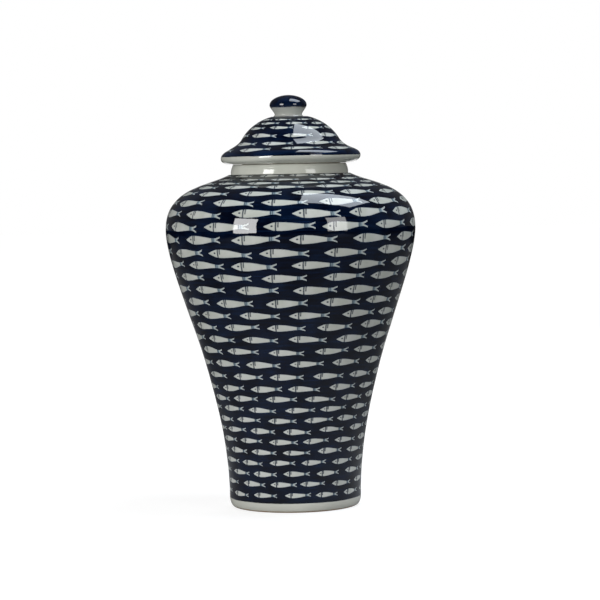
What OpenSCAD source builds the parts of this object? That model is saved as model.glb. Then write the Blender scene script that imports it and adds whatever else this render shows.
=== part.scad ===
// Ginger jar: a tall porcelain jar with a lift-off domed lid.
// The body is made in two sections on a foot ring, with a separate collar at the
// mouth. The lid is a dome with a locating flange under it and a knob on top.
// Sections of one body meet face to face, where they are luted before firing.
// Millimetres. +Z is up, and the origin is the centre of the standing face.

/* [Body] */
// Height of the body, from the standing face to the joint of the collar
body_h = 370; // [305:1:445]
// Outside diameter at the belly, the widest part
belly_d = 278; // [230:1:335]
// Height of the shoulder, from the belly up to the joint of the collar
shoulder_h = 60; // [50:1:72]
// Width of the ledge that the shoulder leaves outside the collar
ledge_w = 2.5; // [1:0.5:4]
// Thickness of the wall
wall_t = 6; // [4.5:0.5:8]
// Thickness of the floor
floor_t = 8; // [6:0.5:12]
// Radius of the cove between the floor and the wall
cove_r = 12; // [8:1:18]
// Height of the seam between the lower and the upper section
seam_z = 200; // [150:1:240]

/* [Foot] */
// Outside diameter at the foot
foot_d = 147; // [122:1:177]
// Height of the foot ring
foot_h = 10; // [8:0.5:14]
// Width of the foot ring where it joins the body
foot_w = 11; // [9:0.5:14]
// Width of the standing face
stand_w = 5; // [4:0.5:7]

/* [Collar] */
// Diameter of the mouth, which the lid's flange drops into
mouth_d = 113; // [94:1:136]
// Thickness of the collar at its lip
collar_t = 7; // [5.5:0.5:9]
// How much wider the outside of the collar is at its foot, in diameter
collar_flare = 4; // [2:0.5:6]
// Height of the collar
collar_h = 11; // [8:0.5:16]
// Radius of the rounded lip
lip_r = 1.5; // [1:0.25:2.5]

/* [Lid] */
// How far the brim reaches out beyond the lip, on each side
brim_over = 14.5; // [12:0.5:18]
// Height of the lid, from its underside to the crown
lid_h = 52; // [43:1:63]
// Height of the edge of the brim above the underside
brim_h = 6.6; // [5:0.2:8]
// Height at which the dome turns outwards into the brim
turn_h = 28; // [24:1:32]
// How far the dome stands outside the bore of the flange at that height
dome_out = 4.5; // [3.5:0.5:6]
// Diameter of the flat crown under the knob
crown_d = 42; // [36:1:50]
// Thickness of the dome
dome_t = 6.5; // [5:0.5:8]
// Depth of the locating flange
flange_h = 14; // [11:0.5:17]
// Thickness of the locating flange
flange_t = 5; // [4:0.5:6]

/* [Knob] */
// Height of the knob
knob_h = 24; // [20:0.5:29]
// Diameter of the knob at its widest
knob_d = 41.4; // [36:0.2:50]
// Diameter of the waist of the knob
waist_d = 30.2; // [25:0.2:35]
// How far the foot of the knob spreads beyond its waist, on each side
spread = 1.7; // [1:0.1:2.5]

/* [Clearances] */
// Gap between the flange and the mouth, on each side
flange_gap = 2; // [1.5:0.25:3]
// Height that the unglazed seat stands the lid off the lip
seat_gap = 0.4; // [0.2:0.1:0.6]

/* [Hidden] */
$fn = 96;

CREAM = "#d5d8cf";
COBALT = "#10223f";
BISQUE = "#d9cdb8";

belly_z = body_h - shoulder_h;
floor_z = foot_h + floor_t;
lip_z = body_h + collar_h;
lip_d = mouth_d + 2 * collar_t;
collar_d = lip_d + collar_flare;
seat_z = lip_z + seat_gap;
crown_z = seat_z + lid_h;
lid_d = lip_d + 2 * brim_over;
flange_d = mouth_d - 2 * flange_gap;
hollow_d = flange_d - 2 * flange_t;
dome_d = hollow_d + 2 * dome_out;
knob_foot_d = waist_d + 2 * spread;

// Points along the cubic curve that four control points give
function curve(p, steps) = [
    for (i = [0 : steps])
        let (t = i / steps, s = 1 - t)
            s * s * s * p[0] + 3 * s * s * t * p[1] + 3 * s * t * t * p[2] + t * t * t * p[3]
];

// An open path moved sideways by a distance, to the left of its direction
function inset(path, distance) = [
    for (i = [0 : len(path) - 1])
        let (
            ahead = path[min(i + 1, len(path) - 1)] - path[max(i - 1, 0)],
            along = ahead / norm(ahead)
        )
            path[i] + distance * [-along[1], along[0]]
];

function without_first(path) = [for (i = [1 : len(path) - 1]) path[i]];

// The side rises straight from the foot, sweeps out, and is upright again at the belly
function side() =
    let (rise = belly_z - foot_h)
        curve([
            [foot_d / 2, foot_h],
            [foot_d / 2, foot_h + 0.43 * rise],
            [belly_d / 2, belly_z - 0.18 * rise],
            [belly_d / 2, belly_z]
        ], 44);

// The shoulder rolls over from the belly and meets the collar a little outside it
function shoulder() =
    let (edge = collar_d / 2 + ledge_w, reach = belly_d / 2 - edge)
        curve([
            [belly_d / 2, belly_z],
            [belly_d / 2, belly_z + 0.78 * shoulder_h],
            [edge + 0.3 * reach, body_h - 0.18 * shoulder_h],
            [edge, body_h]
        ], 32);

function body_outline() = concat(side(), without_first(shoulder()));

module body_solid() {
    polygon(concat([[0, foot_h]], body_outline(), [[0, body_h]]));
}

// The space inside the body: the wall's inner face, the cove, and the floor
module body_hollow() {
    inner = inset(body_outline(), wall_t);
    upright = [for (p = inner) if (p[1] > floor_z + cove_r) p];
    cove_x = lookup(floor_z + cove_r, [for (p = inner) [p[1], p[0]]]) - cove_r;
    cove = [
        for (a = [-90 : 10 : 0])
            [cove_x + cove_r * cos(a), floor_z + cove_r + cove_r * sin(a)]
    ];
    top = inner[len(inner) - 1];
    polygon(concat([[0, floor_z]], cove, upright, [[0, top[1]]]));
}

// The wall of the body between two heights, cut through for the mouth
module body_section(low, high) {
    intersection() {
        difference() {
            body_solid();
            body_hollow();
            translate([0, body_h - shoulder_h / 2]) square([mouth_d / 2, shoulder_h]);
        }
        translate([0, low]) square([belly_d, high - low]);
    }
}

// Ring that the jar stands on, with a bare flat face and a rounded outer edge
module foot_ring() {
    outer = foot_d / 2;
    inner = outer - foot_w;
    bevel = 1;
    edge = inner + bevel + stand_w;
    color(CREAM) rotate_extrude()
        polygon(concat(
            [[inner, foot_h], [inner, bevel], [inner + bevel, 0]],
            curve([
                [edge, 0],
                [(edge + outer) / 2, 0],
                [outer - 0.3, 0.4 * foot_h],
                [outer, foot_h]
            ], 12)
        ));
}

// Lower half of the body, a tall cup with the floor
module lower_section() {
    color(COBALT) rotate_extrude() body_section(foot_h, seam_z);
}

// Upper half of the body, with the belly and the shoulder
module upper_section() {
    color(COBALT) rotate_extrude() body_section(seam_z, body_h);
}

// Short tapered collar with a rounded lip, luted round the mouth
module neck_collar() {
    inner = mouth_d / 2;
    outer = lip_d / 2;
    round_z = lip_z - lip_r;
    color(CREAM) rotate_extrude() union() {
        polygon([
            [inner, body_h], [collar_d / 2, body_h], [outer, round_z],
            [outer - lip_r, round_z], [outer - lip_r, lip_z],
            [inner + lip_r, lip_z], [inner + lip_r, round_z], [inner, round_z]
        ]);
        for (x = [inner + lip_r, outer - lip_r])
            translate([x, round_z]) circle(lip_r);
    }
}

// The edge of the brim, swept up into the dome
function brim_outline() =
    let (rise = turn_h - brim_h, reach = (lid_d - dome_d) / 2)
        curve([
            [lid_d / 2, seat_z + brim_h],
            [lid_d / 2, seat_z + brim_h + 0.45 * rise],
            [dome_d / 2 + 0.25 * reach, seat_z + turn_h - 0.52 * rise],
            [dome_d / 2, seat_z + turn_h]
        ], 24);

// The dome, from where it turns out of the brim to the flat crown
function dome_outline() =
    let (rise = lid_h - turn_h, reach = (dome_d - crown_d) / 2)
        curve([
            [dome_d / 2, seat_z + turn_h],
            [dome_d / 2 - 0.15 * reach, seat_z + turn_h + 0.35 * rise],
            [crown_d / 2 + 0.5 * reach, crown_z - 0.17 * rise],
            [crown_d / 2, crown_z]
        ], 24);

// The space under the dome, which carries on up from the bore of the flange
module lid_hollow() {
    bore = hollow_d / 2;
    intersection() {
        translate([0, seat_z - 1]) square([bore, lid_h]);
        polygon(concat(
            [[0, seat_z - 1], [bore, seat_z - 1], [bore, seat_z]],
            inset(dome_outline(), dome_t),
            [[0, crown_z - dome_t]]
        ));
    }
}

// Domed cover with a wide brim, hollow above the flange
module lid_dome() {
    seat = lip_d / 2 + 1;
    reach = lid_d / 2 - seat;
    underside = curve([
        [seat, seat_z],
        [seat + 0.55 * reach, seat_z],
        [lid_d / 2, seat_z + 0.35 * brim_h],
        [lid_d / 2, seat_z + brim_h]
    ], 12);
    color(COBALT) rotate_extrude() difference() {
        polygon(concat(
            [[0, seat_z]], underside, without_first(brim_outline()),
            without_first(dome_outline()), [[0, crown_z]]
        ));
        lid_hollow();
    }
}

// Plain ring under the lid that drops into the mouth and keeps the lid central
module lid_flange() {
    inner = hollow_d / 2;
    outer = flange_d / 2;
    low = seat_z - flange_h;
    bevel = 1;
    lead = 2;
    color(BISQUE) rotate_extrude()
        polygon([
            [inner, seat_z], [inner, low + bevel], [inner + bevel, low],
            [outer - lead, low], [outer, low + lead], [outer, seat_z]
        ]);
}

// Button knob: a cushion-shaped head on a short waist
module lid_knob() {
    waist_z = crown_z + 0.09 * knob_h;
    widest_z = crown_z + 0.53 * knob_h;
    top_z = crown_z + knob_h;
    neck = curve([
        [waist_d / 2, waist_z],
        [waist_d / 2, waist_z + 0.11 * knob_h],
        [knob_d / 2, widest_z - 0.12 * knob_h],
        [knob_d / 2, widest_z]
    ], 16);
    cushion = curve([
        [knob_d / 2, widest_z],
        [knob_d / 2, widest_z + 0.28 * knob_h],
        [knob_d / 4, top_z],
        [0, top_z]
    ], 16);
    color(COBALT) rotate_extrude()
        polygon(concat(
            [[0, crown_z], [knob_foot_d / 2, crown_z]],
            neck, without_first(cushion)
        ));
}

foot_ring();
lower_section();
upper_section();
neck_collar();
lid_dome();
lid_flange();
lid_knob();
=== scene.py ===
import math
import bpy
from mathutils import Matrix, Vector, noise


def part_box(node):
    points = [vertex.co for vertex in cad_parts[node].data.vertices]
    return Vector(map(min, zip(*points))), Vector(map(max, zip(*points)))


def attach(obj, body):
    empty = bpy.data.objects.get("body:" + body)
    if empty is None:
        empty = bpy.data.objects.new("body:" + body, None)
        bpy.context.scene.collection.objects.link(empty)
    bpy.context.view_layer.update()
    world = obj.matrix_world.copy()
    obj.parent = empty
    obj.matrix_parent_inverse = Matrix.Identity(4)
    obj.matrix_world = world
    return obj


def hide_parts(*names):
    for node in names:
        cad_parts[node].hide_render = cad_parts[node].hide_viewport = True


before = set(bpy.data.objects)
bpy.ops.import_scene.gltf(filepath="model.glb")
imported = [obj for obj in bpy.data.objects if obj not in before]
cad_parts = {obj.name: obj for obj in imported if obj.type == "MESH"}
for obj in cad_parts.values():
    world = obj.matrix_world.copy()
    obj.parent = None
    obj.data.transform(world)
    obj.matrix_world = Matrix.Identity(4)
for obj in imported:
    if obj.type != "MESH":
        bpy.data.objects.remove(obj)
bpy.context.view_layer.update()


# Camera, a little above the middle of the jar and over two and a half metres off.
# A long lens keeps the jar's outline true, and the camera leans by one degree.

scene = bpy.context.scene
scene.view_settings.view_transform = "Standard"

camera_data = bpy.data.cameras.new("camera")
camera_data.sensor_width = 36
camera_data.lens = 141
camera = bpy.data.objects.new("camera", camera_data)
scene.collection.objects.link(camera)
scene.camera = camera
camera.location = (0.009, -2.62, 0.374)
aim = Vector((0.009, 0, 0.229))
camera.rotation_euler = (aim - camera.location).to_track_quat("-Z", "Y").to_euler()
camera.rotation_euler.rotate_axis("Z", math.radians(-1.09))


# Studio: a white table that fades into a white room, and four soft boxes. Two stand in
# front on the left and right, one hangs above on the right, and one stands behind, so
# that the back of the jar is lit too.

floor_mesh = bpy.data.meshes.new("floor")
reach = 12
drop = -0.0004
floor_mesh.from_pydata(
    [(-reach, -reach, drop), (reach, -reach, drop), (reach, reach, drop), (-reach, reach, drop)],
    [],
    [(0, 1, 2, 3)],
)
floor = bpy.data.objects.new("floor", floor_mesh)
scene.collection.objects.link(floor)


class Recipe:
    """A material's nodes, with short words for what goes into them"""

    def __init__(self, name, owner=None):
        self.owner = owner or bpy.data.materials.new(name)
        self.owner.use_nodes = True
        self.tree = self.owner.node_tree
        self.tree.nodes.clear()

    def put(self, kind, inputs=None, **settings):
        node = self.tree.nodes.new("ShaderNode" + kind)
        for key, value in settings.items():
            setattr(node, key, value)
        for key, value in (inputs or {}).items():
            self.feed(node.inputs[key], value)
        return node

    def feed(self, socket, value):
        if isinstance(value, Amount):
            value = value.socket
        if isinstance(value, bpy.types.NodeSocket):
            self.tree.links.new(value, socket)
        else:
            socket.default_value = value

    def math(self, operation, *values):
        node = self.put("Math", operation=operation)
        for socket, value in zip(node.inputs, values):
            self.feed(socket, value)
        return Amount(self, node.outputs[0])

    def fade(self, value, start, end, low=0.0, high=1.0):
        """Goes from low, before start, to high, after end, in a smooth step"""
        inputs = {"Value": value, "From Min": start, "From Max": end, "To Min": low, "To Max": high}
        node = self.put("MapRange", inputs, interpolation_type="SMOOTHSTEP")
        return Amount(self, node.outputs[0])

    def blend(self, share, first, second):
        """The first colour, turning into the second as share goes from 0 to 1"""
        node = self.put("Mix", {0: share, 6: first, 7: second}, data_type="RGBA")
        return node.outputs[2]

    def grain(self, place, scale, detail=3.0, roughness=0.5):
        """Soft random numbers from about 0.2 to 0.8, at scale lumps in one unit of place"""
        inputs = {"Vector": place, "Scale": scale, "Detail": detail, "Roughness": roughness}
        return Amount(self, self.put("TexNoise", inputs).outputs[0])

    def parts(self, vector):
        node = self.put("SeparateXYZ", {0: vector})
        return [Amount(self, socket) for socket in node.outputs]

    def vector(self, x, y, z):
        return self.put("CombineXYZ", {0: x, 1: y, 2: z}).outputs[0]


class Amount:
    """A number worked out by the nodes, which can be added, multiplied and compared"""

    def __init__(self, recipe, socket):
        self.recipe = recipe
        self.socket = socket

    def __add__(self, other):
        return self.recipe.math("ADD", self, other)

    def __sub__(self, other):
        return self.recipe.math("SUBTRACT", self, other)

    def __rsub__(self, other):
        return self.recipe.math("SUBTRACT", other, self)

    def __mul__(self, other):
        return self.recipe.math("MULTIPLY", self, other)

    def __truediv__(self, other):
        return self.recipe.math("DIVIDE", self, other)

    def __rtruediv__(self, other):
        return self.recipe.math("DIVIDE", other, self)

    __radd__ = __add__
    __rmul__ = __mul__

    def floor(self):
        return self.recipe.math("FLOOR", self)

    def size(self):
        return self.recipe.math("ABSOLUTE", self)

    def between(self, low, high):
        return self.recipe.math("MINIMUM", self.recipe.math("MAXIMUM", self, low), high)


# The table is grey paper near the jar, which takes its shadow, and shines white further
# off. Its paper is painted darker further from the jar, a painted falloff of light, so
# that the glaze mirrors a dark table there. Seen in the glaze, only the strip straight
# behind the jar is white. From below the table is clear, and under the jar it lights the
# foot.
table = Recipe("pale paper")
place = table.put("TexCoord").outputs["Object"]
distance = Amount(table, table.put("VectorMath", {0: place}, operation="LENGTH").outputs["Value"])
seen = table.put("LightPath")
across, away, _ = table.parts(place)
behind = table.fade(away, 0.8, 1.6) * table.fade(across.size(), 0.3, 0.5, 1, 0)
mirrored = table.math("MAXIMUM", seen.outputs["Is Glossy Ray"], seen.outputs["Is Transmission Ray"])
sweep_up = table.fade(distance, 0.15, 0.8, 0.78, 1.0)
shown = table.math("MAXIMUM", sweep_up * seen.outputs["Is Camera Ray"], behind * mirrored)
under_foot = table.fade(distance, 0.055, 0.062, 0.7, 0) * seen.outputs["Is Diffuse Ray"]
# Painted falloff of light: the paper is painted darker from 0.15 m to 0.6 m off the jar
painted_light_falloff = table.fade(distance, 0.15, 0.6)
paper = table.blend(painted_light_falloff, (0.30, 0.30, 0.30, 1), (0.10, 0.10, 0.10, 1))
lit = table.put("BsdfDiffuse", {"Color": paper})
glow = table.put("Emission", {"Color": (1, 1, 1, 1), "Strength": shown + under_foot})
both = table.put("AddShader", {0: lit.outputs[0], 1: glow.outputs[0]})
clear = table.put("BsdfTransparent")
below = table.put("NewGeometry").outputs["Backfacing"]
one_way = table.put("MixShader", {0: below, 1: both.outputs[0], 2: clear.outputs[0]})
table.put("OutputMaterial", {"Surface": one_way.outputs[0]})
floor_mesh.materials.append(table.owner)

room = Recipe("room", bpy.data.worlds.new("room"))
scene.world = room.owner
_, towards_back, _ = room.parts(room.put("TexCoord").outputs["Generated"])
seen = room.put("LightPath")
mirrored = room.math("MAXIMUM", seen.outputs["Is Glossy Ray"], seen.outputs["Is Transmission Ray"])
backdrop = room.fade(towards_back, 0.985, 0.992)
shown = room.math("MAXIMUM", seen.outputs["Is Camera Ray"], backdrop * mirrored)
walls = room.fade(towards_back, -0.6, 0.4, 0.015, 0.08)
strength = room.math("MAXIMUM", walls, shown)
background = room.put("Background", {"Color": (1, 1, 1, 1), "Strength": strength})
room.put("OutputWorld", {"Surface": background.outputs[0]})


def soft_box(name, place, target, width, height, brightness, tint=(1, 1, 1)):
    """A light panel that faces a target and that the camera doesn't see"""
    panel = bpy.data.lights.new(name, "AREA")
    panel.shape = "RECTANGLE"
    panel.size = width
    panel.size_y = height
    panel.energy = brightness * math.pi * width * height
    panel.color = tint
    lamp = bpy.data.objects.new(name, panel)
    scene.collection.objects.link(lamp)
    lamp.location = place
    lamp.rotation_euler = (Vector(target) - Vector(place)).to_track_quat("-Z", "Y").to_euler()
    lamp.visible_camera = False
    return lamp


soft_box("left_box", (-1.29, -1.49, 0.65), (0, 0, 0.3), 0.76, 1.0, 13)
soft_box("right_box", (1.32, -1.46, 0.65), (0, 0, 0.3), 0.70, 1.0, 6)
soft_box("top_box", (0.78, -0.03, 1.75), (0.78, -0.03, 0), 1.30, 0.96, 7, (0.84, 0.92, 1.0))
fill = soft_box("back_fill", (-0.2, 2.2, 1.3), (0, 0, 0.3), 2.2, 1.5, 4.6)
fill.visible_glossy = False


# Foot ring: the turned porcelain ring that the jar stands on, luted under the body.
# It is glazed white outside, and wiped bare where it stands, so that it can't stick
# to the kiln shelf. The bare edge fires to a thin toasted line.

# Sizes are in millimetres, and the frame's boxes are in metres.
MM = 1000
around_steps = 240


def top_of(node):
    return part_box(node)[1][2] * MM


def bottom_of(node):
    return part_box(node)[0][2] * MM


def radius_of(node):
    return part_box(node)[1][0] * MM


def sweep(a, b, c, d, steps):
    """Points along the cubic curve that leaves a towards b and reaches d from c"""
    points = []
    for i in range(steps + 1):
        t = i / steps
        s = 1 - t
        weights = (s * s * s, 3 * s * s * t, 3 * s * t * t, t * t * t)
        r = sum(weight * p[0] for weight, p in zip(weights, (a, b, c, d)))
        z = sum(weight * p[1] for weight, p in zip(weights, (a, b, c, d)))
        points.append((r, z))
    return points


def stretch(*corners, steps=8):
    """Points along straight lines from corner to corner"""
    points = [corners[0]]
    for (r0, z0), (r1, z1) in zip(corners, corners[1:]):
        for i in range(1, steps + 1):
            t = i / steps
            points.append((r0 + (r1 - r0) * t, z0 + (z1 - z0) * t))
    return points


def arc(centre, radius, start, end, steps=6):
    """Points along an arc, by angles in degrees from straight outwards, turning up"""
    angles = [math.radians(start + (end - start) * i / steps) for i in range(steps + 1)]
    r, z = centre
    return [(r + radius * math.cos(angle), z + radius * math.sin(angle)) for angle in angles]


def hand(x, y, z):
    """How far the potter's hands left the wall from true, in millimetres"""
    lumps = noise.noise(Vector((x, y, z)) / 52)
    ridges = noise.noise(Vector((x / 70, y / 70, z / 12 + 40)))
    return 0.30 * lumps + 0.09 * ridges


class Face:
    """One turned face of a piece: its points, the number of its finish, and the band from
    low to high that it fills on the bake map. A face in halves has one half of its way
    round laid out below the other there, and a soft face runs on smoothly into the next."""

    def __init__(self, points, finish=0, low=0.0, high=1.0, halves=False, soft=False):
        self.points = points
        self.finish = finish
        self.low = low
        self.high = high
        self.strips = 2 if halves else 1
        self.soft = soft
        self.travel = [0.0]
        for p, q in zip(points, points[1:]):
            self.travel.append(self.travel[-1] + math.dist(p, q))

    def on_map(self, step, i):
        """Place on the bake map of the face's point i, step steps round"""
        margin = 0.004
        each = around_steps // self.strips
        strip = min(int(step // each), self.strips - 1)
        tall = (self.high - self.low) / self.strips
        u = margin + (1 - 2 * margin) * (step - strip * each) / each
        v = self.low + strip * tall + margin + (tall - 2 * margin) * self.travel[i] / self.travel[-1]
        return u, v


def turned(name, faces, finishes, tape=None, warp=None, aside=0):
    """A closed piece turned round the axis. The faces run round its section, with the
    clay on their left. tape gives the distance down the painted wall at a point, warp
    lifts points, and aside moves the piece to the right."""
    verts = []
    rings = []
    for face in faces:
        for i, (r, z) in enumerate(face.points):
            if i == 0 and rings:
                continue
            if r < 0.001:
                rings.append([len(verts)] * (around_steps + 1))
                verts.append((aside / MM, 0, z / MM))
                continue
            ring = []
            for step in range(around_steps):
                turn = math.tau * (step / around_steps - 0.25)
                side, front = math.sin(turn), -math.cos(turn)
                out = r + hand(r * side, r * front, z)
                up = z + (warp(r, z, turn) if warp else 0)
                ring.append(len(verts))
                verts.append(((out * side + aside) / MM, out * front / MM, up / MM))
            rings.append(ring + ring[:1])
    first_point = faces[0].points[0]
    if first_point[0] > 0.001 and math.dist(first_point, faces[-1].points[-1]) < 0.001:
        # The section ends where it began, so its last ring is its first ring.
        del verts[-around_steps:]
        rings[-1] = rings[0]
    polygons, slots, wall, bake, hard = [], [], [], [], set()
    row = 0
    for face in faces:
        for i in range(len(face.points) - 1):
            low, high = rings[row], rings[row + 1]
            for step in range(around_steps):
                corners = [(low, step, i), (low, step + 1, i), (high, step + 1, i + 1), (high, step, i + 1)]
                if low[0] == low[1]:
                    corners.pop(1)
                if high[0] == high[1]:
                    corners.pop(2)
                polygons.append([ring[at] for ring, at, _ in corners])
                slots.append(face.finish)
                for ring, at, j in corners:
                    down = tape(*face.points[j]) if tape else 0
                    wall.append((at / around_steps - 0.25, down))
                    bake.append(face.on_map(step + 0.9999 if at > step else step, j))
            row += 1
        if not face.soft:
            end = rings[row]
            hard.update(tuple(sorted(pair)) for pair in zip(end, end[1:]))
    mesh = bpy.data.meshes.new(name)
    mesh.from_pydata(verts, [], polygons)
    for finish in finishes:
        mesh.materials.append(finish)
    mesh.polygons.foreach_set("material_index", slots)
    mesh.shade_smooth()
    for edge in mesh.edges:
        edge.use_edge_sharp = tuple(sorted(edge.vertices)) in hard
    for label, values in (("Wall", wall), ("OFBake", bake)):
        layer = mesh.uv_layers.new(name=label)
        layer.data.foreach_set("uv", [number for pair in values for number in pair])
    piece = bpy.data.objects.new(name, mesh)
    scene.collection.objects.link(piece)
    return piece


def gloss(recipe, colour):
    """A fired glaze: colour under clear glass that has slightly uneven ripples"""
    place = recipe.put("TexCoord").outputs["Object"]
    swell = recipe.grain(place, 42, 2)
    skin = recipe.grain(place, 210, 2)
    height = swell * 0.85 + skin * 0.10
    bump = recipe.put("Bump", {"Height": height, "Distance": 0.00022})
    depth = recipe.grain(place, 120, 3)
    glaze = recipe.put("BsdfPrincipled", {
        "Base Color": colour,
        "Roughness": recipe.fade(depth, 0.3, 0.7, 0.30, 0.45),
        "Specular IOR Level": 0.0,
        "Coat Weight": 1.0,
        "Coat Roughness": 0.03,
        "Coat IOR": 1.5,
        "Normal": bump.outputs[0],
        "Coat Normal": bump.outputs[0],
    })
    recipe.put("OutputMaterial", {"Surface": glaze.outputs[0]})


def white_colour(recipe):
    """The pale grey-green of the clear glaze over white porcelain, with a few iron specks"""
    place = recipe.put("TexCoord").outputs["Object"]
    cloud = recipe.grain(place, 22, 4)
    base = recipe.blend(recipe.fade(cloud, 0.3, 0.7), (0.47, 0.485, 0.43, 1), (0.56, 0.565, 0.51, 1))
    cells = recipe.put("TexVoronoi", {"Vector": place, "Scale": 95.0}, feature="F1")
    near = Amount(recipe, cells.outputs["Distance"])
    chance = recipe.put("TexWhiteNoise", {"Vector": cells.outputs["Position"]}).outputs[0]
    speck = recipe.fade(near, 0.035, 0.06, 1, 0) * recipe.fade(chance, 0.93, 0.94, 0, 0.55)
    return recipe.blend(speck, base, (0.09, 0.06, 0.035, 1))


def white_glaze(name):
    recipe = Recipe(name)
    gloss(recipe, white_colour(recipe))
    return recipe.owner


def bare_clay(name):
    """Unglazed porcelain: matt and warm, with a fine grain and darker blushes"""
    recipe = Recipe(name)
    place = recipe.put("TexCoord").outputs["Object"]
    blush = recipe.fade(recipe.grain(place, 30, 5), 0.35, 0.7)
    colour = recipe.blend(blush, (0.58, 0.50, 0.39, 1), (0.47, 0.35, 0.23, 1))
    grit = recipe.grain(place, 1500, 4, 0.7)
    bump = recipe.put("Bump", {"Height": grit, "Distance": 0.00015})
    clay = recipe.put("BsdfPrincipled", {
        "Base Color": colour,
        "Roughness": recipe.fade(grit, 0.3, 0.7, 0.78, 0.95),
        "Specular IOR Level": 0.3,
        "Normal": bump.outputs[0],
    })
    recipe.put("OutputMaterial", {"Surface": clay.outputs[0]})
    return recipe.owner


def foot_glaze(name):
    """White glaze, painted paler on the low foot as painted light, that stops in a toasted line just above
    the standing face
    """
    recipe = Recipe(name)
    place = recipe.put("TexCoord").outputs["Object"]
    height = recipe.parts(place)[2] * MM
    wander = recipe.grain(place, 60, 2) * 1.6 - 0.8
    toast = recipe.fade(height + wander, 0.9, 2.3, 0.85, 0)
    # Painted light: the foot's white glaze is mixed 30 percent towards a paler cream
    painted_light_foot = recipe.blend(0.3, white_colour(recipe), (0.75, 0.74, 0.68, 1))
    colour = recipe.blend(toast, painted_light_foot, (0.30, 0.17, 0.075, 1))
    gloss(recipe, colour)
    return recipe.owner


foot_r = radius_of("foot_ring")
foot_h = top_of("foot_ring")
foot_w = 11
stand_w = 5
bevel = 1
foot_inner = foot_r - foot_w
foot_edge = foot_inner + bevel + stand_w

bare = bare_clay("bare_porcelain")
white = white_glaze("white_glaze")
standing_face = stretch((foot_inner + bevel, 0), (foot_edge, 0))
outer_edge = sweep(
    (foot_edge, 0),
    ((foot_edge + foot_r) / 2, 0),
    (foot_r - 0.3, 0.4 * foot_h),
    (foot_r, foot_h),
    24,
)
wiped = 5  # steps of the outer edge
ring = turned("foot_ring_turned", [
    Face(standing_face + outer_edge[1:wiped + 1], 0, high=0.30, soft=True),
    Face(outer_edge[wiped:], 1, low=0.30, high=0.75, halves=True),
    Face(stretch((foot_r, foot_h), (foot_inner, foot_h), steps=3), 1, low=0.75, high=0.85),
    Face(stretch((foot_inner, foot_h), (foot_inner, bevel)), 1, low=0.85, high=0.95),
    Face(stretch((foot_inner, bevel), (foot_inner + bevel, 0), steps=2), 0, low=0.95, high=1.0),
], [bare, foot_glaze("foot_glaze")])
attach(ring, "jar")
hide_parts("foot_ring")


# Lower section of the body: a tall cup of porcelain with the floor in it, luted on the
# foot ring. It is painted in cobalt round rows of reserved fish, all swimming one way,
# and then glazed all over, inside and out.

seam_z = top_of("lower_section")
body_h = top_of("upper_section")
belly_r = radius_of("upper_section")
collar_r = radius_of("neck_collar")
shoulder_h = 60
ledge_w = 2.5
wall_t = 6
floor_t = 8
cove_r = 12
belly_z = body_h - shoulder_h
rise = belly_z - foot_h
shoulder_r = collar_r + ledge_w
shoulder_w = belly_r - shoulder_r

side_line = sweep(
    (foot_r, foot_h),
    (foot_r, foot_h + 0.43 * rise),
    (belly_r, belly_z - 0.18 * rise),
    (belly_r, belly_z),
    120,
)
shoulder_line = sweep(
    (belly_r, belly_z),
    (belly_r, belly_z + 0.78 * shoulder_h),
    (shoulder_r + 0.3 * shoulder_w, body_h - 0.18 * shoulder_h),
    (shoulder_r, body_h),
    64,
)
body_line = side_line + shoulder_line[1:]


def part_of_line(line, low, high):
    """The points of a line between two heights, with an exact point at each height"""
    points = []
    for (r0, z0), (r1, z1) in zip(line, line[1:]):
        for level in (low, high):
            if z0 < level < z1:
                points.append((r0 + (r1 - r0) * (level - z0) / (z1 - z0), level))
        if low <= z1 <= high:
            points.append((r1, z1))
    if low <= line[0][1] <= high:
        points.insert(0, line[0])
    return sorted(set(points), key=lambda p: p[1])


def moved_in(line, distance):
    """A line moved sideways by a distance, to its left"""
    points = []
    for i, (r, z) in enumerate(line):
        (r0, z0), (r1, z1) = line[max(i - 1, 0)], line[min(i + 1, len(line) - 1)]
        span = math.hypot(r1 - r0, z1 - z0)
        points.append((r - distance * (z1 - z0) / span, z + distance * (r1 - r0) / span))
    return points


def tape_measure(line):
    """A function that gives the distance down a line, from its top end, at a point on it"""
    downs = {line[-1]: 0.0}
    for above, below in zip(line[::-1], line[-2::-1]):
        downs[below] = downs[above] + math.dist(above, below)

    def down_to(r, z):
        if (r, z) in downs:
            return downs[(r, z)]
        near = min(downs, key=lambda p: math.dist(p, (r, z)))
        return downs[near] + (near[1] - z)

    return down_to


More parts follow.
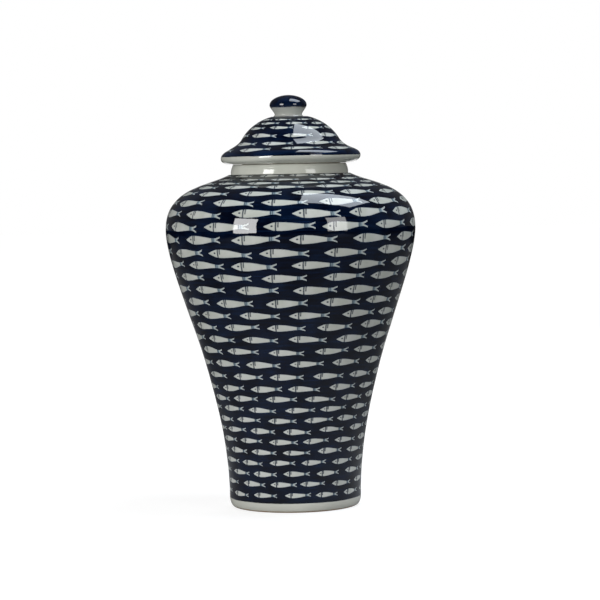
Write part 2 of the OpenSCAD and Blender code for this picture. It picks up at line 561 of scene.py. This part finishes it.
def fish_paint(
    name, rows, around, plump, first, pitch, wide_pitch, wide_from, wide_to,
    start, step_back, white_below, slide=0, jump=0, jump_row=0,
):
    """Rows of fish left white in a cobalt ground, under the glaze.
    rows and around count the rows and the fish in each, and plump is how tall a fish is
    for its room round the wall. The first row is first mm down the wall. The rows are
    pitch mm apart, or wide_pitch mm from row wide_from to row wide_to. Rows begin at start,
    and every other one at step_back beyond it. The lower rows slide on round the wall a
    little more in each, and jump on before jump_row. All four are shares of a fish's room.
    The wall is white below white_below mm."""
    recipe = Recipe(name)
    place = recipe.put("TexCoord").outputs["Object"]
    x, y, z = recipe.parts(place)
    radius = recipe.math("SQRT", x * x + y * y) * MM
    room_for_one = radius * (math.tau / around)
    turn, down, _ = recipe.parts(recipe.put("UVMap", uv_map="Wall").outputs[0])

    # The row and the fish that a point is in
    wave = (recipe.grain(recipe.vector(turn * 9, down / 60, 0), 1.0, 1) - 0.5) * 2.2
    down = down + wave
    top_of_wide = first + pitch * wide_from
    end_of_wide = top_of_wide + wide_pitch * (wide_to - wide_from)
    rows_down = (
        (recipe.math("MINIMUM", down, top_of_wide) - first) / pitch
        + (down.between(top_of_wide, end_of_wide) - top_of_wide) / wide_pitch
        + (recipe.math("MAXIMUM", down, end_of_wide) - end_of_wide) / pitch
    )
    row = (rows_down + 0.5).floor()
    wide_rows = row.between(wide_from, wide_to) - wide_from
    centre = first + row * pitch + wide_rows * (wide_pitch - pitch)
    odd = recipe.math("FLOORED_MODULO", row, 2)
    lead = 0.10  # of the room, in front of the fish
    place_in_row = turn * around - (start + odd * step_back) + lead
    if slide:
        lower_rows = recipe.math("MAXIMUM", row - (wide_from + wide_to) / 2, 0)
        after_jump = recipe.fade(row, jump_row - 0.6, jump_row - 0.4)
        place_in_row = place_in_row + lower_rows * slide + after_jump * jump
    number = place_in_row.floor()
    share = place_in_row - number
    number = recipe.math("FLOORED_MODULO", number, around)

    def whims(seed):
        """Three random numbers from -1 to 1 that are the painter's for this fish"""
        node = recipe.put("TexWhiteNoise", {"Vector": recipe.vector(number, row, seed)})
        split = recipe.put("SeparateColor", {0: node.outputs["Color"]})
        return [Amount(recipe, socket) * 2 - 1 for socket in split.outputs]

    # The fish's size and lie, then its place along and up its own body
    long_whim, along_whim, up_whim = whims(3.7)
    fat_whim, tilt_whim, tail_whim = whims(8.2)
    length = room_for_one * 0.80 * (long_whim * 0.05 + 1)
    half = (room_for_one * plump + 1.2) * (fat_whim * 0.08 + 1) * 0.5
    along = (share - lead - along_whim * 0.045) * room_for_one / length
    sway = (along - 0.4) * length * tilt_whim * 0.024
    flick = recipe.fade(along, 0.45, 1.0) * tail_whim * half * 0.30
    up = (centre - down) + up_whim * 0.65 + sway + flick
    beside = up / half

    # Its outline, from the nose to the tips of the tail, and the fork in the tail
    outline = [
        (0, 0.02), (0.07, 0.38), (0.14, 0.68), (0.22, 0.92), (0.30, 0.98), (0.42, 0.93),
        (0.56, 0.77), (0.69, 0.56), (0.78, 0.44), (0.86, 0.40), (0.93, 0.54), (1, 0.84),
    ]
    shape = recipe.put("FloatCurve", {"Value": along})
    curve = shape.mapping.curves[0]
    while len(curve.points) < len(outline):
        curve.points.new(0.5, 0.5)
    for point, corner in zip(curve.points, outline):
        point.location = corner
    shape.mapping.update()
    tall = Amount(recipe, shape.outputs[0])
    soft = 0.22 / half
    body = recipe.fade(tall - beside.size(), 0 - soft, soft)
    inside = recipe.fade(along, 0.0, 0.006) * recipe.fade(along, 0.992, 1.0, 1, 0)
    notch = recipe.math("MAXIMUM", (along - 0.895) * 4.6, 0)
    fork = recipe.fade(beside.size() - notch, 0 - soft, soft)
    past_root = recipe.fade(along, 0.89, 0.90)
    body = body * inside * recipe.fade(past_root * (1 - fork), 0, 1, 1, 0)
    body = body * recipe.fade(row, rows - 0.6, rows - 0.4, 1, 0) * recipe.fade(row, -0.6, -0.4)

    def stroke(at, width, low, high):
        """A short upright brush stroke across the fish, width mm wide"""
        off = (along - at - beside * beside * 0.006).size() * length
        return (
            recipe.fade(off, width * 0.3, width * 0.8, 1, 0)
            * recipe.fade(beside, low - 0.15, low + 0.05)
            * recipe.fade(beside, high - 0.05, high + 0.15, 1, 0)
        )

    # The marks in dark cobalt: the eye, the gills, and two bands at the root of the tail
    eye_x = (along - 0.162) * length
    eye_y = (beside - 0.10) * half
    eye_off = recipe.math("SQRT", eye_x * eye_x * 0.55 + eye_y * eye_y) / half
    gill_fold = recipe.fade((along - 0.262).size(), 0.0, 0.04, 0.25, 0)
    marks = recipe.fade(eye_off, 0.15, 0.26, 0.97, 0)
    for mark in (
        stroke(0.235, 1.5, -1.3, 1.3) * 0.95,
        stroke(0.283, 1.3, -0.15, 1.2) * 0.9,
        gill_fold * recipe.fade(beside, -0.6, 0.3),
        stroke(0.795, 1.3, -1.1, 1.1) * 0.85,
        stroke(0.832, 1.1, -1.1, 1.1) * 0.7,
    ):
        marks = recipe.math("MAXIMUM", marks, mark)
    patchy = recipe.fade(recipe.grain(place, 700, 3), 0.25, 0.6, 0.7, 1)

    # The pale body of the fish, thinly washed with cobalt at its rim and its tail, and
    # painted paler low on the jar as painted light
    tone = recipe.fade(recipe.grain(place, 60, 4), 0.3, 0.7)
    cream = recipe.blend(tone, (0.46, 0.48, 0.435, 1), (0.53, 0.545, 0.515, 1))
    # Painted light: the fish are painted paler below 0.26 m, most below 0.08 m, where the lower wall gets
    # less light
    painted_light_low = recipe.fade(z, 0.08, 0.26, 0.28, 0)
    cream = recipe.blend(painted_light_low, cream, (0.68, 0.70, 0.68, 1))
    wash = recipe.fade(along, 0.75, 0.80) * recipe.fade(along, 0.85, 0.90, 0.75, 0.20)
    cream = recipe.blend(wash, cream, (0.17, 0.27, 0.34, 1))
    rim = recipe.fade(tall - beside.size(), 0.0, 0.30, 0.30, 0)
    cream = recipe.blend(rim, cream, (0.30, 0.37, 0.38, 1))
    cream = recipe.blend(marks * patchy, cream, (0.010, 0.022, 0.042, 1))

    # The ground, brushed on round the fish, thinner in streaks and along their backs
    streak_place = recipe.vector(turn * around * 1.3, down / 3.2, row)
    streaks = recipe.fade(recipe.grain(streak_place, 1.6, 5, 0.6), 0.42, 0.72)
    pools = recipe.fade(recipe.grain(place, 34, 3), 0.40, 0.70)
    ends = recipe.fade(along, -0.04, 0.05) * recipe.fade(along, 0.93, 1.02, 1, 0)
    halo = recipe.fade(tall * half + 1.2 - up.size(), 0.0, 1.2, 0.0, 0.45) * ends
    thin = recipe.math("MINIMUM", streaks * 0.55 + pools * 0.35 + halo, 1)
    cobalt = recipe.blend(thin, (0.0002, 0.0010, 0.0055, 1), (0.0030, 0.0125, 0.0420, 1))
    painted = recipe.blend(body, cobalt, cream)

    # The white edge below the paint
    edge = z * MM + (recipe.grain(recipe.vector(turn * 14, 0, 0), 1.0, 2) - 0.5) * 1.4
    unpainted = recipe.fade(edge, white_below - 0.25, white_below + 0.25, 1, 0)
    painted = recipe.blend(unpainted, painted, white_colour(recipe))
    gloss(recipe, painted)
    return recipe.owner


down_wall = tape_measure(body_line)
jar_paint = fish_paint(
    "jar_fish", rows=31, around=13, plump=0.128, first=4, pitch=12, wide_pitch=14.14, wide_from=3,
    wide_to=20, start=0, step_back=0.53, white_below=foot_h + 0.5, slide=0.0126, jump=0.126, jump_row=21,
)

lower_line = part_of_line(body_line, foot_h, seam_z)
inner_line = moved_in(body_line, wall_t)
floor_z = foot_h + floor_t
inner_lower = part_of_line(inner_line, floor_z + cove_r, seam_z)
cove = arc((inner_lower[0][0] - cove_r, floor_z + cove_r), cove_r, 0, -90)
floor_line = [(cove[-1][0] * k / 6, floor_z) for k in range(5, -1, -1)]
lower_inside = inner_lower[::-3] + cove + floor_line
lower = turned("lower_section_turned", [
    Face(stretch((0, foot_h), (foot_r, foot_h), steps=10), 1, low=0.95, high=1.0),
    Face(lower_line, 0, low=0.0, high=0.86, halves=True),
    Face([lower_line[-1], inner_lower[-1]], 1, low=0.86, high=0.88),
    Face(lower_inside, 1, low=0.88, high=0.95),
], [jar_paint, white], tape=down_wall)
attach(lower, "jar")
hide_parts("lower_section")


# Upper section of the body: the belly and the shoulder, with a round hole for the
# mouth. It is luted on the lower section while both are leather hard, and the seam is
# scraped flush, so that the painted rows run on across it.

mouth_r = 56.5
upper_line = part_of_line(body_line, seam_z, body_h)
inner_upper = [p for p in part_of_line(inner_line, seam_z, body_h - 1) if p[0] > mouth_r]
ceiling_z = inner_upper[-1][1]
upper = turned("upper_section_turned", [
    Face(upper_line, 0, low=0.0, high=0.86, halves=True),
    Face(stretch((shoulder_r, body_h), (mouth_r, body_h), steps=4), 1, low=0.86, high=0.88),
    Face(stretch((mouth_r, body_h), (mouth_r, ceiling_z), steps=3), 1, low=0.88, high=0.90),
    Face([(mouth_r, ceiling_z)] + inner_upper[::-2] + [inner_upper[0]], 1, low=0.90, high=0.98),
    Face([inner_upper[0], upper_line[0]], 1, low=0.98, high=1.0),
], [jar_paint, white], tape=down_wall)
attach(upper, "jar")
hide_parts("upper_section")


# Collar: a short ring with a rounded lip, luted round the mouth on top of the shoulder.
# It is glazed white, and its lip is wiped bare where the lid sits.

lip_z = top_of("neck_collar")
lip_w = 7
lip_r = 1.5
lip_outer = mouth_r + lip_w
round_z = lip_z - lip_r
collar_side = sweep(
    (collar_r - 0.2, body_h),
    (collar_r + 0.2, body_h + 0.32 * (round_z - body_h)),
    (lip_outer + 1.2, body_h + 0.72 * (round_z - body_h)),
    (lip_outer, round_z),
    10,
)
outer_lip = arc((lip_outer - lip_r, round_z), lip_r, 0, 90)
seat = stretch((lip_outer - lip_r, lip_z), (mouth_r + lip_r, lip_z), steps=4)
inner_lip = arc((mouth_r + lip_r, round_z), lip_r, 90, 180)
throat = stretch((mouth_r, round_z), (mouth_r, body_h))
collar = turned("neck_collar_turned", [
    Face(collar_side + outer_lip[1:], 0, high=0.55, halves=True, soft=True),
    Face(seat, 1, low=0.55, high=0.65, soft=True),
    Face(inner_lip + throat[1:], 0, low=0.65, high=0.92),
    Face(stretch((mouth_r, body_h), (collar_r - 0.2, body_h), steps=4), 0, low=0.92, high=1.0),
], [white, bare])
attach(collar, "jar")
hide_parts("neck_collar")


# Flange: the ring under the lid that drops into the mouth and stops the lid sliding
# off. It is left bare, because glaze there would stick the lid to the jar.

seat_z = bottom_of("lid_dome")
flange_r = radius_of("lid_flange")
flange_low = bottom_of("lid_flange")
flange_t = 5
bore_r = flange_r - flange_t
lead_in = 2
lid_aside = 1.6  # the lid sits a little off the middle of the mouth
flange_corners = [
    (flange_r, flange_low + lead_in),
    (flange_r, seat_z),
    (bore_r, seat_z),
    (bore_r, flange_low + bevel),
    (bore_r + bevel, flange_low),
    (flange_r - lead_in, flange_low),
    (flange_r, flange_low + lead_in),
]
flange_steps = [8, 2, 8, 2, 2, 2]
flange_bands = [0, 0.4, 0.5, 0.8, 0.85, 0.92, 1.0]
flange = turned("lid_flange_turned", [
    Face(stretch(*flange_corners[i:i + 2], steps=steps), low=flange_bands[i], high=flange_bands[i + 1])
    for i, steps in enumerate(flange_steps)
], [bare], aside=lid_aside)
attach(flange, "lid")
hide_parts("lid_flange")


# Lid: a thrown dome with a wide rolled brim, hollow underneath. Its top is painted like
# the jar, down to a white edge. The brim has sagged a little in waves in the firing.

lid_r = radius_of("lid_dome")
crown_z = top_of("lid_dome")
brim_h = 6.6
turn_h = 28
dome_out = 4.5
dome_t = 6.5
crown_r = 21
lid_h = crown_z - seat_z
dome_r = bore_r + dome_out
brim_rise = turn_h - brim_h
brim_w = lid_r - dome_r
dome_rise = lid_h - turn_h
dome_w = dome_r - crown_r
seat_r = lip_outer + 1
under_w = lid_r - seat_r

brim_line = sweep(
    (lid_r, seat_z + brim_h),
    (lid_r, seat_z + brim_h + 0.45 * brim_rise),
    (dome_r + 0.25 * brim_w, seat_z + turn_h - 0.52 * brim_rise),
    (dome_r, seat_z + turn_h),
    26,
)
dome_line = sweep(
    (dome_r, seat_z + turn_h),
    (dome_r - 0.15 * dome_w, seat_z + turn_h + 0.35 * dome_rise),
    (crown_r + 0.5 * dome_w, crown_z - 0.17 * dome_rise),
    (crown_r, crown_z),
    34,
)
lid_line = brim_line + dome_line[1:]
under_line = sweep(
    (seat_r, seat_z),
    (seat_r + 0.55 * under_w, seat_z),
    (lid_r, seat_z + 0.35 * brim_h),
    (lid_r, seat_z + brim_h),
    16,
)
dome_inside = [p for p in moved_in(dome_line, dome_t) if p[0] < bore_r]
crown = [(crown_r * k / 4, crown_z) for k in range(4, -1, -1)]


def brim_sag(r, z, turn):
    """How far the brim has sagged or risen at its edge, in millimetres"""
    share = max(0, r - seat_r) / under_w
    tilt = 0.5 + 1.5 * math.sin(turn + 0.2)
    return share * (tilt + 0.5 * math.sin(3 * turn + 0.9) + 0.3 * math.sin(5 * turn + 2.1))


lid_paint = fish_paint(
    "lid_fish", rows=6, around=8, plump=0.100, first=10.8, pitch=8.1, wide_pitch=11.7, wide_from=2,
    wide_to=5, start=0.33, step_back=0.48, white_below=seat_z + 8.2,
)
lid = turned("lid_dome_turned", [
    Face(lid_line, 0, low=0.0, high=0.74, halves=True),
    Face(crown, 1, low=0.98),
    Face([(0, crown_z - dome_t)] + dome_inside[::-1], 1, low=0.90, high=0.98, soft=True),
    Face(stretch(dome_inside[0], (bore_r, seat_z), steps=5), 1, low=0.86, high=0.90),
    Face(stretch((bore_r, seat_z), (seat_r, seat_z), steps=5), 2, low=0.82, high=0.86, soft=True),
    Face(under_line, 1, low=0.74, high=0.82, soft=True),
], [lid_paint, white, bare], tape=tape_measure(lid_line), warp=brim_sag, aside=lid_aside)
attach(lid, "lid")
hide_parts("lid_dome")


# Knob: a button on a short waist, turned solid and luted on the crown. Its head is
# dipped in cobalt, which stops in an uneven line above the waist. The waist's white glaze
# is darkened towards grey.

knob_r = radius_of("lid_knob")
knob_top = top_of("lid_knob")
knob_h = knob_top - crown_z
waist_r = 15.1
spread = 1.7
waist_z = crown_z + 0.09 * knob_h
widest_z = crown_z + 0.53 * knob_h


dip_z = crown_z + 9.4
dip_blur = 1.4


def knob_glaze(name):
    """Mottled cobalt above the edge of the dip, and grey-white below it"""
    recipe = Recipe(name)
    place = recipe.put("TexCoord").outputs["Object"]
    z = recipe.parts(place)[2] * MM
    edge = z + (recipe.grain(place, 90, 2) - 0.5) * 1.8
    dipped = recipe.fade(edge, dip_z, dip_z + dip_blur)
    clouds = recipe.fade(recipe.grain(place, 130, 4), 0.3, 0.7)
    cobalt = recipe.blend(clouds, (0.0005, 0.0022, 0.0090, 1), (0.0035, 0.0110, 0.0340, 1))
    # The waist's white glaze is mixed 60 percent of the way to a dark grey
    waist = recipe.blend(0.6, white_colour(recipe), (0.29, 0.30, 0.29, 1))
    gloss(recipe, recipe.blend(dipped, waist, cobalt))
    return recipe.owner


neck = sweep(
    (waist_r, waist_z),
    (waist_r, waist_z + 0.11 * knob_h),
    (knob_r, widest_z - 0.12 * knob_h),
    (knob_r, widest_z),
    16,
)
cushion = sweep(
    (knob_r, widest_z),
    (knob_r, widest_z + 0.28 * knob_h),
    (knob_r / 2, knob_top),
    (0, knob_top),
    20,
)
knob_foot = (waist_r + spread, crown_z)
knob = turned("lid_knob_turned", [
    Face([(waist_r * k / 3, crown_z) for k in range(3)] + [knob_foot], low=0.92),
    Face([knob_foot] + neck + cushion[1:], high=0.92, halves=True),
], [knob_glaze("knob_glaze")])
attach(knob, "lid")
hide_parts("lid_knob")
